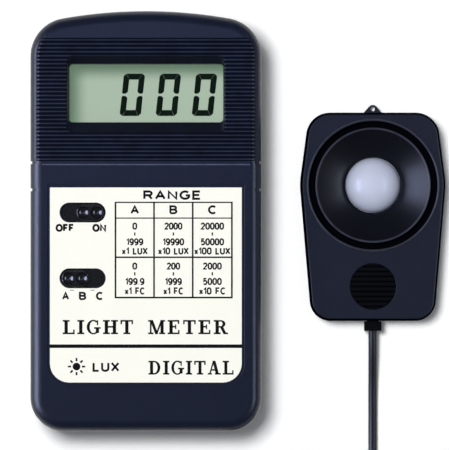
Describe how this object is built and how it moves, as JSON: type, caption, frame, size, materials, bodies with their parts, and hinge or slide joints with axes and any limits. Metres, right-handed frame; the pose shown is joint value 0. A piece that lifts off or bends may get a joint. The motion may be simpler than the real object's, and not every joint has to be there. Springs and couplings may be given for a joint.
{
  "type": "handheld light meter",
  "caption": "Pocket light meter with a display, slide switches and a separate domed light sensor on a long lead that ends in a plug.",
  "frame": {"origin": "middle of the display unit's flat back, which lies on the plane z = 0", "axes": "+Z points out of the display face, +Y from the battery end to the display end, +X to the right of the display, towards the sensor head"},
  "size_m": [0.1298, 0.1839, 0.0257],
  "materials": {
    "case_plastic": "fine-textured moulded navy plastic",
    "head_plastic": "fine-textured moulded navy plastic",
    "steel_screw": "zinc-plated",
    "label_print": "cream printed foil with black print",
    "clear_pane": "clear",
    "bezel_plastic": "moulded",
    "lcd_cell": "smooth reflective display",
    "strip_rubber": "striped elastomer",
    "board_laminate": "solder-masked laminate",
    "switch_metal": "tinned sheet",
    "knob_black": "glossy black",
    "chip_black": "moulded epoxy",
    "tinned_leg": "tinned",
    "trimmer_blue": "moulded",
    "trimmer_screw": "moulded",
    "film_red": "dipped",
    "can_sleeve": "sleeved",
    "resistor_tan": "lacquered",
    "jack_black": "moulded",
    "contact_brass": "sprung strip",
    "battery_shell": "plain printed steel jacket",
    "terminal_metal": "nickel-plated",
    "snap_vinyl": "moulded vinyl",
    "red_wire": "insulated",
    "black_wire": "insulated",
    "foam": "soft foam",
    "dish_black": "satin black",
    "dome_white": "translucent white diffuser",
    "filter_green": "coloured filter",
    "diode_dark": "glass-faced",
    "pad_rubber": "ribbed",
    "gland_black": "moulded",
    "cord_black": "smooth flexible jacket",
    "plug_black": "glossy moulded cover",
    "plug_metal": "plated"
  },
  "bodies": {
    "meter": {"front_case": "case_plastic", "rear_case": "case_plastic", "case_screws": "steel_screw", "board_screws": "steel_screw", "face_label": "label_print", "lcd_window": "clear_pane", "lcd_bezel": "bezel_plastic", "lcd_glass": "lcd_cell", "lcd_reflector": "lcd_cell", "zebra_strips": "strip_rubber", "main_board": "board_laminate", "power_switch": "switch_metal", "range_switch": "switch_metal", "converter_chip": "chip_black", "amplifier_chip": "chip_black", "converter_pins": "tinned_leg", "amplifier_pins": "tinned_leg", "trimmer_bodies": "trimmer_blue", "film_capacitors": "film_red", "electrolytic_capacitor": "can_sleeve", "resistors": "resistor_tan", "sensor_jack": "jack_black", "jack_contacts": "contact_brass", "battery": "battery_shell", "battery_terminals": "terminal_metal", "battery_snap": "snap_vinyl", "red_lead": "red_wire", "black_lead": "black_wire", "battery_foam": "foam"},
    "battery_cover": {"battery_cover": "case_plastic"},
    "power_slide": {"power_slider": "knob_black", "power_knob": "knob_black"},
    "range_slide": {"range_slider": "knob_black", "range_knob": "knob_black"},
    "trimmer_1": {"trimmer_rotor_1": "trimmer_screw"},
    "trimmer_2": {"trimmer_rotor_2": "trimmer_screw"},
    "trimmer_3": {"trimmer_rotor_3": "trimmer_screw"},
    "sensor": {"head_front": "head_plastic", "head_rear": "head_plastic", "head_screws": "steel_screw", "dish": "dish_black", "dome": "dome_white", "light_filter": "filter_green", "photodiode": "diode_dark", "head_board": "board_laminate", "thumb_pad": "pad_rubber", "head_leads": "red_wire", "cable_gland": "gland_black", "cord_lead": "cord_black", "cord_coil": "cord_black", "cord_tie": "gland_black", "cord_tail": "cord_black", "plug_boot": "gland_black", "plug_cover": "plug_black", "plug_sleeve": "plug_metal", "plug_insulator": "jack_black", "plug_tip": "plug_metal"}
  },
  "joints": [
    {"name": "battery_cover_slide", "type": "slide", "parent": "meter", "child": "battery_cover", "axis": [0, -1, 0], "range_m": [0, 0.036]},
    {"name": "power_switch_slide", "type": "slide", "parent": "meter", "child": "power_slide", "axis": [1, 0, 0], "range_m": [-0.0046, 0]},
    {"name": "range_switch_slide", "type": "slide", "parent": "meter", "child": "range_slide", "axis": [1, 0, 0], "range_m": [0, 0.0046]},
    {"name": "trimmer_1_turn", "type": "hinge", "parent": "meter", "child": "trimmer_1", "pos_m": [-0.022, -0.012, 0.0098], "axis": [0, 0, -1], "range_deg": [-130, 130]},
    {"name": "trimmer_2_turn", "type": "hinge", "parent": "meter", "child": "trimmer_2", "pos_m": [-0.012, -0.012, 0.0098], "axis": [0, 0, -1], "range_deg": [-130, 130]},
    {"name": "trimmer_3_turn", "type": "hinge", "parent": "meter", "child": "trimmer_3", "pos_m": [-0.002, -0.012, 0.0098], "axis": [0, 0, -1], "range_deg": [-130, 130]},
    {"name": "sensor_lift", "type": "slide", "parent": "meter", "child": "sensor", "axis": [0, 0, 1], "range_m": [0, 0.06]}
  ]
}
